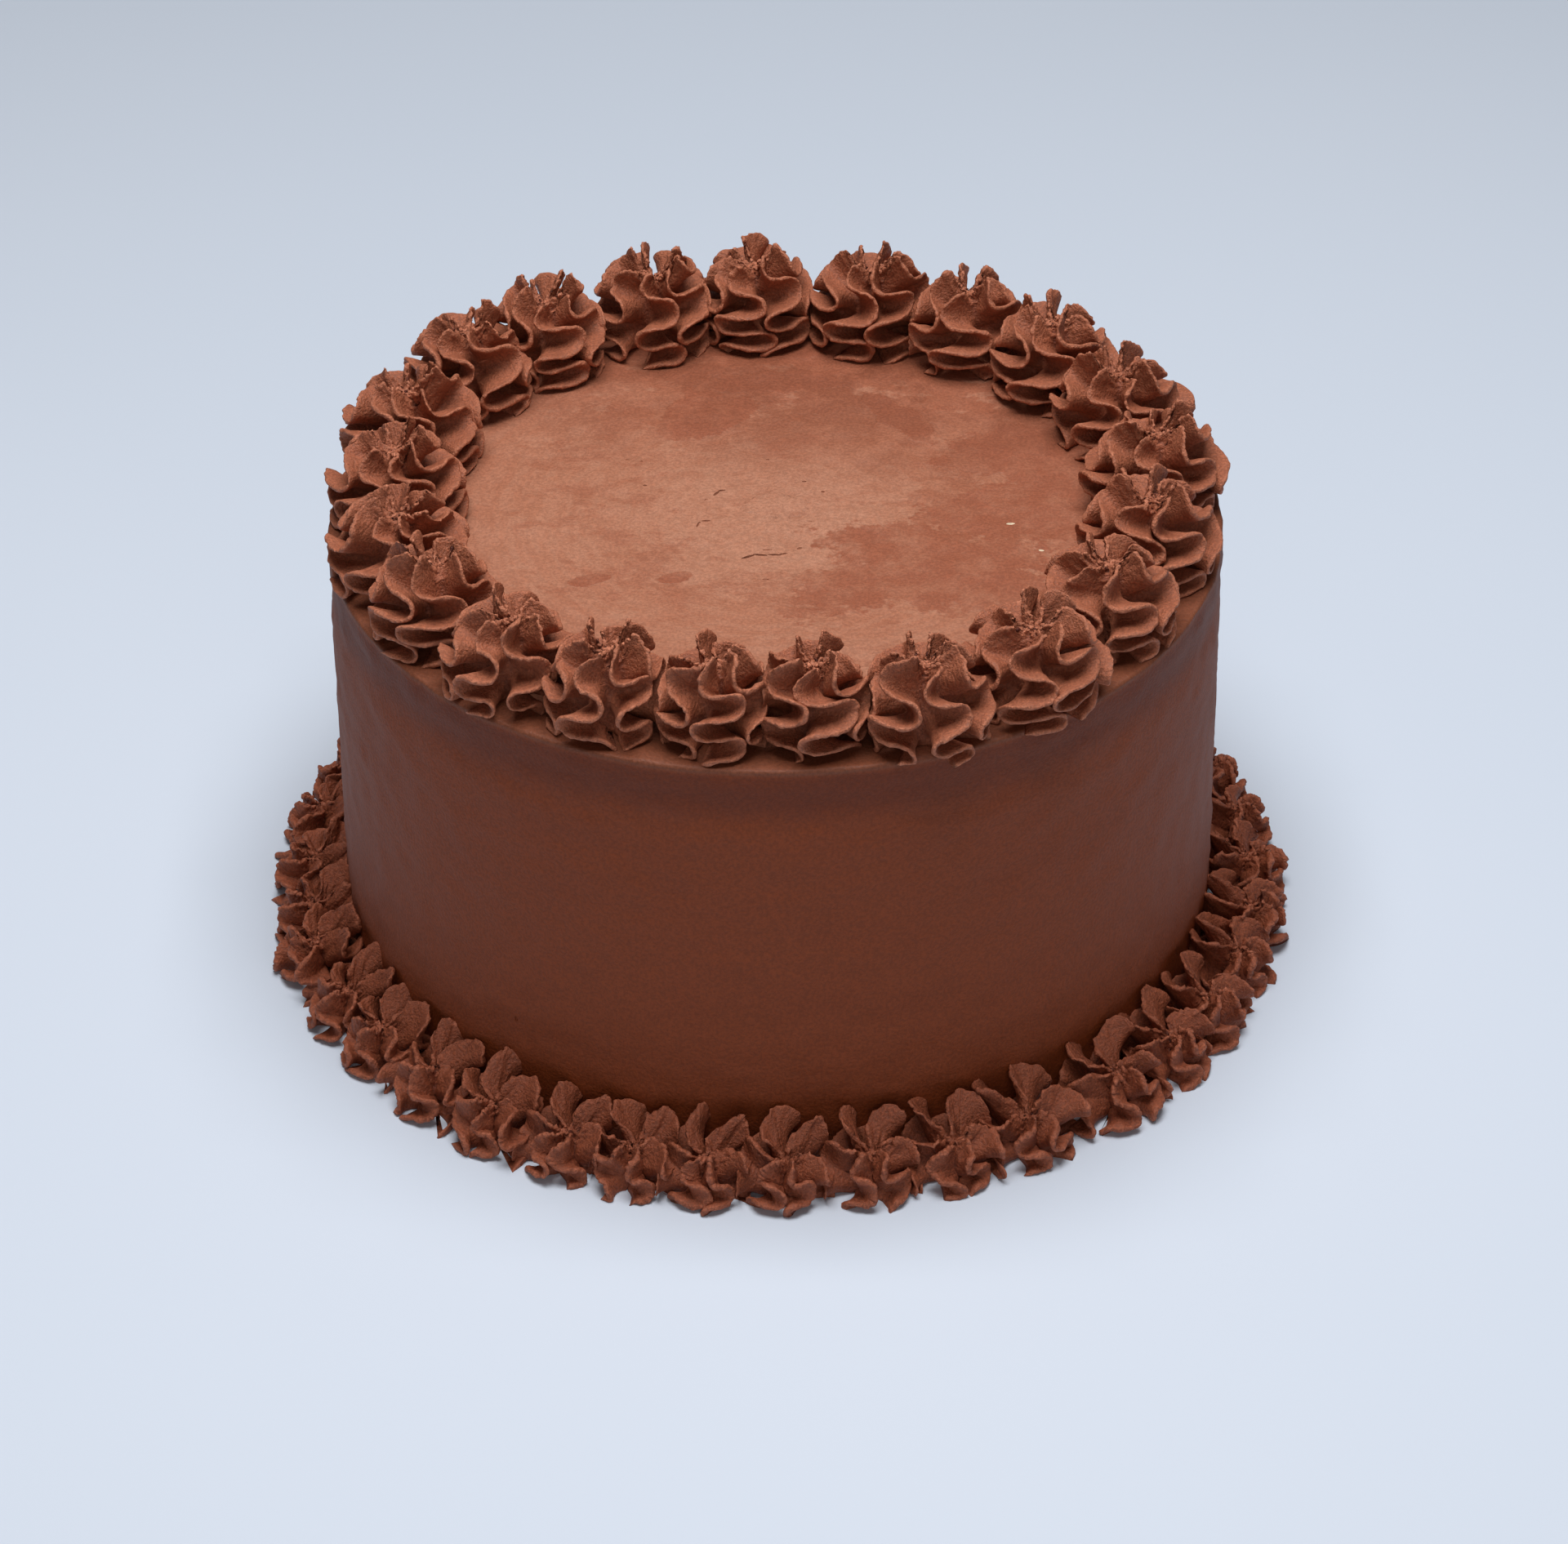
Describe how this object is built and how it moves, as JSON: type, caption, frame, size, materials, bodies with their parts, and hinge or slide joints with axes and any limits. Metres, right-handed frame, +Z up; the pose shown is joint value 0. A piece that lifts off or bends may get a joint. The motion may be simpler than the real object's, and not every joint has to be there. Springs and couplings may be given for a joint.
{
  "type": "chocolate cake",
  "caption": "Round iced layer cake, smooth wall and top, with ruffled piped rosettes round the top edge and smaller piped stars round the foot.",
  "frame": {"origin": "middle of the flat underside, on the surface the cake stands on", "axes": "+Z up, -Y towards the front that the picture shows, +X to the right of that view"},
  "size_m": [0.2672, 0.2679, 0.1414],
  "materials": {
    "icing": "matte chocolate buttercream, scraped smooth, with faint pits and cloudy smears",
    "top_piping": "matte chocolate buttercream, piped in thin ruffled petals with torn, crumbly points",
    "foot_piping": "matte chocolate buttercream, piped in rough open petals, slightly darker than the top"
  },
  "bodies": {
    "root": {"cake_body": "icing", "top_rosette_01": "top_piping", "top_rosette_02": "top_piping", "top_rosette_03": "top_piping", "top_rosette_04": "top_piping", "top_rosette_05": "top_piping", "top_rosette_06": "top_piping", "top_rosette_07": "top_piping", "top_rosette_08": "top_piping", "top_rosette_09": "top_piping", "top_rosette_10": "top_piping", "top_rosette_11": "top_piping", "top_rosette_12": "top_piping", "top_rosette_13": "top_piping", "top_rosette_14": "top_piping", "top_rosette_15": "top_piping", "top_rosette_16": "top_piping", "top_rosette_17": "top_piping", "top_rosette_18": "top_piping", "top_rosette_19": "top_piping", "top_rosette_20": "top_piping", "top_rosette_21": "top_piping", "base_star_01": "foot_piping", "base_star_02": "foot_piping", "base_star_03": "foot_piping", "base_star_04": "foot_piping", "base_star_05": "foot_piping", "base_star_06": "foot_piping", "base_star_07": "foot_piping", "base_star_08": "foot_piping", "base_star_09": "foot_piping", "base_star_10": "foot_piping", "base_star_11": "foot_piping", "base_star_12": "foot_piping", "base_star_13": "foot_piping", "base_star_14": "foot_piping", "base_star_15": "foot_piping", "base_star_16": "foot_piping", "base_star_17": "foot_piping", "base_star_18": "foot_piping", "base_star_19": "foot_piping", "base_star_20": "foot_piping", "base_star_21": "foot_piping", "base_star_22": "foot_piping", "base_star_23": "foot_piping", "base_star_24": "foot_piping", "base_star_25": "foot_piping", "base_star_26": "foot_piping", "base_star_27": "foot_piping", "base_star_28": "foot_piping", "base_star_29": "foot_piping", "base_star_30": "foot_piping", "base_star_31": "foot_piping", "base_star_32": "foot_piping", "base_star_33": "foot_piping", "base_star_34": "foot_piping", "base_star_35": "foot_piping", "base_star_36": "foot_piping", "base_star_37": "foot_piping", "base_star_38": "foot_piping"}
  },
  "joints": []
}
